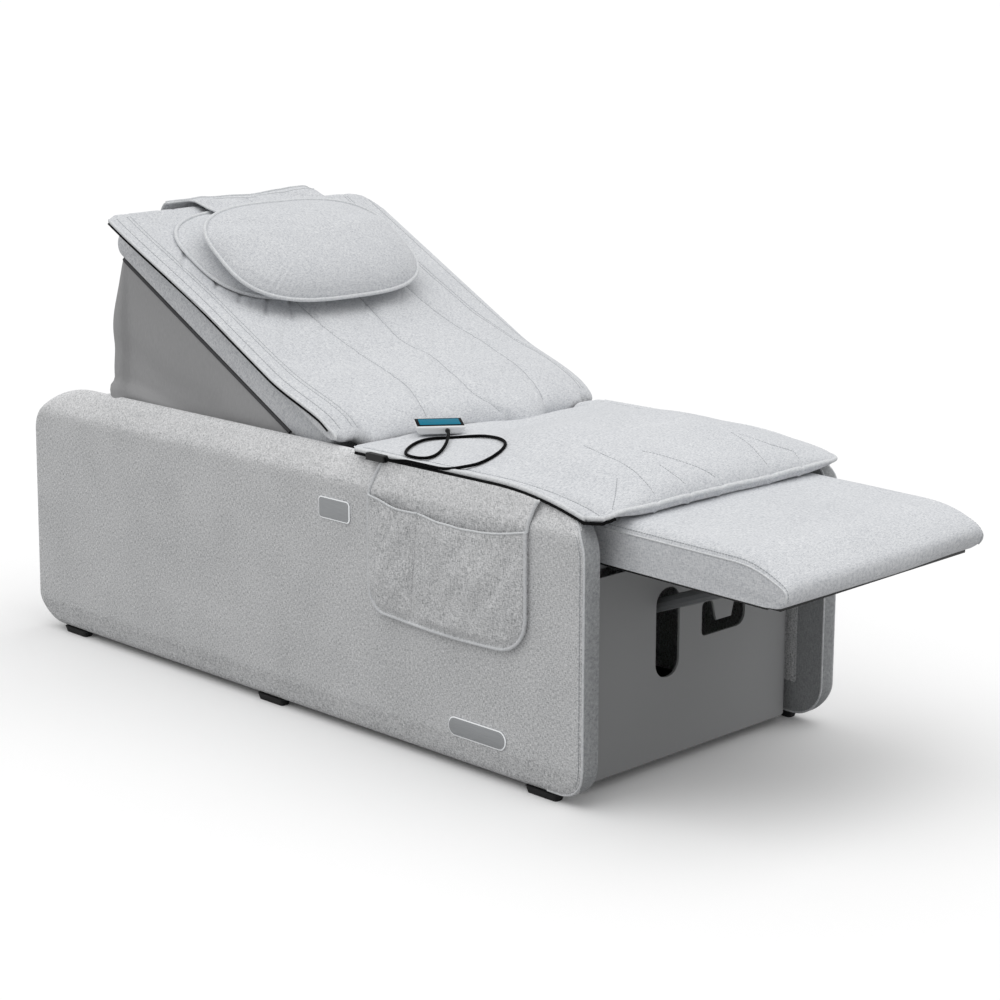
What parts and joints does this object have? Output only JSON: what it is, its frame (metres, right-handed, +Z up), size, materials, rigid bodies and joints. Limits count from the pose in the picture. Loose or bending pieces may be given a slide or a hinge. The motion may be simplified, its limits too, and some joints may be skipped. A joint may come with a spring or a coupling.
{
  "type": "massage bench",
  "caption": "Padded massage bed with a hinged backrest on a lift arm, a folding leg rest, a massage carriage inside, a quilted mat, pillows, a side pocket and a corded hand control.",
  "frame": {"origin": "on the floor, under the middle of the bed's box", "axes": "+X to the foot end, +Z up, -Y is the side with the pocket"},
  "size_m": [2.0286, 0.7383, 0.9705],
  "materials": {
    "melange_fabric": "woven, matte",
    "stretch_cloth": "smooth knit, matte",
    "moulded_plastic": "satin",
    "black_plastic": "matte",
    "black_rubber": "matte",
    "painted_steel": "satin paint",
    "bright_steel": "brushed",
    "plywood": "sanded",
    "white_plastic": "satin gloss",
    "screen_plastic": "glossy"
  },
  "bodies": {
    "base": {"side_panel_near": "melange_fabric", "side_panel_far": "melange_fabric", "foot_rear_near": "black_rubber", "foot_rear_far": "black_rubber", "foot_middle_near": "black_rubber", "foot_middle_far": "black_rubber", "foot_front_near": "black_rubber", "foot_front_far": "black_rubber", "head_panel": "melange_fabric", "base_board": "plywood", "hinge_beam": "painted_steel", "front_beam": "painted_steel", "seat_deck": "plywood", "foot_panel": "moulded_plastic", "seat_mat": "melange_fabric", "pocket": "melange_fabric", "small_plate": "bright_steel", "pill_plate": "bright_steel", "remote_body": "white_plastic", "remote_screen": "screen_plastic", "cord_gland": "black_plastic", "remote_cord": "black_rubber", "cord_socket": "black_plastic", "gusset": "stretch_cloth", "hinge_bracket_near": "painted_steel", "hinge_bracket_far": "painted_steel", "hinge_rod": "bright_steel", "leg_bracket_near": "painted_steel", "leg_bracket_far": "painted_steel", "leg_hinge_rod": "bright_steel", "back_lift_post": "painted_steel", "back_lift_motor": "black_plastic", "leg_lift_post": "painted_steel", "leg_lift_motor": "black_plastic"},
    "backrest": {"backrest_side_near": "melange_fabric", "backrest_side_far": "melange_fabric", "backrest_foot_rail": "plywood", "backrest_head_rail": "plywood", "lift_track": "painted_steel", "hinge_lug_near": "painted_steel", "hinge_lug_far": "painted_steel", "guide_rail_near": "painted_steel", "guide_rail_far": "painted_steel", "back_mat": "melange_fabric", "lower_pillow": "melange_fabric", "upper_pillow": "melange_fabric", "pillow_flap": "melange_fabric"},
    "carriage": {"massage_carriage": "painted_steel"},
    "roller_upper": {"massage_roller_upper": "bright_steel"},
    "roller_lower": {"massage_roller_lower": "bright_steel"},
    "back_arm": {"back_lift_arm": "painted_steel"},
    "back_arm_roller": {"back_lift_arm_roller": "black_rubber"},
    "leg_rest": {"leg_pad": "melange_fabric", "leg_board": "black_plastic", "leg_lug_near": "painted_steel", "leg_lug_far": "painted_steel"},
    "leg_arm": {"leg_lift_arm": "painted_steel"},
    "leg_arm_roller": {"leg_lift_arm_roller": "black_rubber"}
  },
  "joints": [
    {"name": "back_hinge", "type": "hinge", "parent": "base", "child": "backrest", "pos_m": [-0.103, 0, 0.49], "axis": [0, 1, 0], "range_deg": [-28.7, 0], "deforming": ["gusset"]},
    {"name": "carriage_slide", "type": "slide", "parent": "backrest", "child": "carriage", "axis": [-0.8771, 0, 0.4802], "range_m": [-0.2, 0.25]},
    {"name": "roller_upper_spin", "type": "hinge", "parent": "carriage", "child": "roller_upper", "pos_m": [-0.44252, 0, 0.73403], "axis": [0, 1, 0], "continuous": true},
    {"name": "roller_lower_spin", "type": "hinge", "parent": "carriage", "child": "roller_lower", "pos_m": [-0.34604, 0, 0.6812], "axis": [0, 1, 0], "continuous": true},
    {"name": "back_arm_turn", "type": "hinge", "parent": "base", "child": "back_arm", "pos_m": [-0.45, 0, 0.26], "axis": [0, 1, 0], "range_deg": [-57, 0]},
    {"name": "back_arm_roller_spin", "type": "hinge", "parent": "back_arm", "child": "back_arm_roller", "pos_m": [-0.45847, 0, 0.67367], "axis": [0, 1, 0], "continuous": true},
    {"name": "leg_hinge", "type": "hinge", "parent": "base", "child": "leg_rest", "pos_m": [0.576, 0, 0.418], "axis": [0, 1, 0], "range_deg": [0, 45]},
    {"name": "leg_arm_turn", "type": "hinge", "parent": "base", "child": "leg_arm", "pos_m": [0.446, 0, 0.2652], "axis": [0, 1, 0], "range_deg": [0, 38.2]},
    {"name": "leg_arm_roller_spin", "type": "hinge", "parent": "leg_arm", "child": "leg_arm_roller", "pos_m": [0.82589, 0, 0.40997], "axis": [0, 1, 0], "continuous": true}
  ],
  "couplings": [
    {"joint": "back_arm_turn", "follows": "back_hinge", "ratio": 1.9735},
    {"joint": "leg_arm_turn", "follows": "leg_hinge", "ratio": 0.847}
  ]
}
